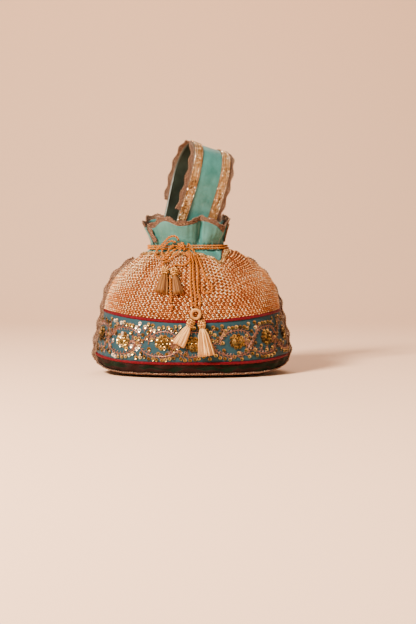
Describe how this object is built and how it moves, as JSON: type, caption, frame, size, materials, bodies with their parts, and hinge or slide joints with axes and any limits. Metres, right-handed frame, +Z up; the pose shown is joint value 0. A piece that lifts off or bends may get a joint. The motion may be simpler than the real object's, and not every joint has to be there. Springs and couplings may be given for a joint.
{
  "type": "potli bag",
  "caption": "Gathered drawstring pouch with an embroidered band, satin ruffle, crochet lace edges, tasselled cords and a strap handle.",
  "frame": {"origin": "on the resting plane under the middle of the bag", "axes": "+Z up through the mouth, +X across the bag towards one side seam, +Y from the tasselled front to the back"},
  "size_m": [0.2435, 0.1723, 0.2777],
  "materials": {
    "weave": "woven metallic yarn, satin sheen",
    "band_cloth": "matt raw silk",
    "brocade": "figured brocade, low sheen",
    "piping": "satin bias over cord",
    "satin": "satin with soft sheen",
    "lining_cloth": "dark satin",
    "crochet_lace": "matt yarn with metallic fleck",
    "zari_trim": "metallic braid with small beads",
    "cord": "twisted cord, silky",
    "tassel_beads": "small metal beads",
    "tassel_silk": "silk strands",
    "sequins": "glossy cup sequins",
    "coil_wire": "fine coiled metal wire"
  },
  "bodies": {
    "root": {"weave_panel_front": "weave", "weave_panel_back": "weave", "embroidered_band_front": "band_cloth", "embroidered_band_back": "band_cloth", "base_panel_front": "brocade", "base_panel_back": "brocade", "upper_piping_front": "piping", "upper_piping_back": "piping", "lower_piping_front": "piping", "lower_piping_back": "piping", "satin_ruffle_front": "satin", "satin_ruffle_back": "satin", "handle_strap": "satin", "lining": "lining_cloth", "handle_lining": "lining_cloth", "seam_lace": "crochet_lace", "rim_lace_front": "crochet_lace", "rim_lace_back": "crochet_lace", "flap_lace_front_left": "crochet_lace", "flap_lace_front_right": "crochet_lace", "flap_lace_back_left": "crochet_lace", "flap_lace_back_right": "crochet_lace", "handle_lace_left": "crochet_lace", "handle_lace_right": "crochet_lace", "neck_trim_front": "zari_trim", "neck_trim_back": "zari_trim", "handle_zari_left": "zari_trim", "handle_zari_right": "zari_trim", "neck_cord_upper": "cord", "neck_cord_lower": "cord", "bow_knot": "cord", "bow_loop_outer": "cord", "bow_loop_inner": "cord", "bow_loop_low": "cord", "tassel_cord_left": "cord", "tassel_cord_outer": "cord", "tassel_cord_middle": "cord", "tassel_cord_inner": "cord", "tassel_cord_hidden": "cord", "tassel_cord_short": "cord", "tassel_cord_short_knot": "cord", "cord_ring": "cord", "tassel_upper_left_head": "tassel_beads", "tassel_upper_right_head": "tassel_beads", "tassel_lower_left_head": "tassel_beads", "tassel_lower_right_head": "tassel_beads", "tassel_upper_left_skirt": "tassel_silk", "tassel_upper_right_skirt": "tassel_silk", "tassel_lower_left_skirt": "tassel_silk", "tassel_lower_right_skirt": "tassel_silk"}
  },
  "joints": []
}
